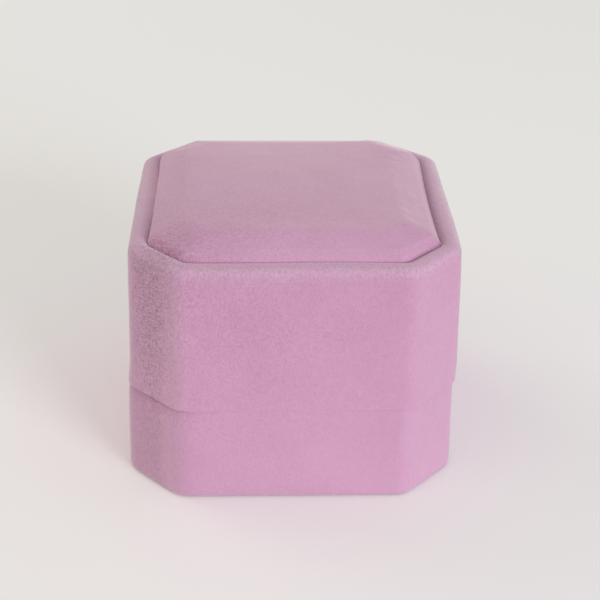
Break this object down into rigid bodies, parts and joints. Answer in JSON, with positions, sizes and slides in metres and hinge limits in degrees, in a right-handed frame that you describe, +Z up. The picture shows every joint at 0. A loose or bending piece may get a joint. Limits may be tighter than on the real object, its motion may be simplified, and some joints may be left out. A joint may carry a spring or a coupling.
{
  "type": "ring box",
  "caption": "Octagonal velvet ring box: a base with a collar and a slotted ring cushion, and a lift-off lid with a raised rim around a padded top.",
  "frame": {"origin": "middle of the underside, on the surface that the box stands on", "axes": "+Z up, the way the lid lifts off; -Y towards the front, and the ring slot runs along X"},
  "size_m": [0.0606, 0.0606, 0.0494],
  "materials": {
    "outer_velvet": "short dense velvet pile, orchid pink, with a soft sheen",
    "inner_velvet": "short velvet pile, orchid pink, a little deeper than outside",
    "lining_satin": "pale blush satin",
    "shell_plastic": "moulded off-white plastic",
    "board": "grey board",
    "foam": "open-cell upholstery foam, off-white"
  },
  "bodies": {
    "base": {"bottom_velvet": "outer_velvet", "base_shell": "shell_plastic", "base_velvet": "outer_velvet", "collar_board": "board", "collar_velvet": "inner_velvet", "riser_foam": "foam"},
    "cushion": {"cushion_card": "board", "front_roll_foam": "foam", "front_roll_velvet": "inner_velvet", "back_roll_foam": "foam", "back_roll_velvet": "inner_velvet", "slot_strip": "inner_velvet"},
    "lid": {"lid_shell": "shell_plastic", "lid_velvet": "outer_velvet", "lining_card": "board", "lining_satin": "lining_satin", "ceiling_card": "board", "ceiling_foam": "foam", "ceiling_satin": "lining_satin", "top_pad_card": "board", "top_pad_foam": "foam", "top_pad_velvet": "outer_velvet"}
  },
  "joints": [
    {"name": "lid_lift", "type": "slide", "parent": "base", "child": "lid", "axis": [0, 0, 1], "range_m": [0, 0.045]},
    {"name": "cushion_lift", "type": "slide", "parent": "base", "child": "cushion", "axis": [0, 0, 1], "range_m": [0, 0.014]}
  ]
}
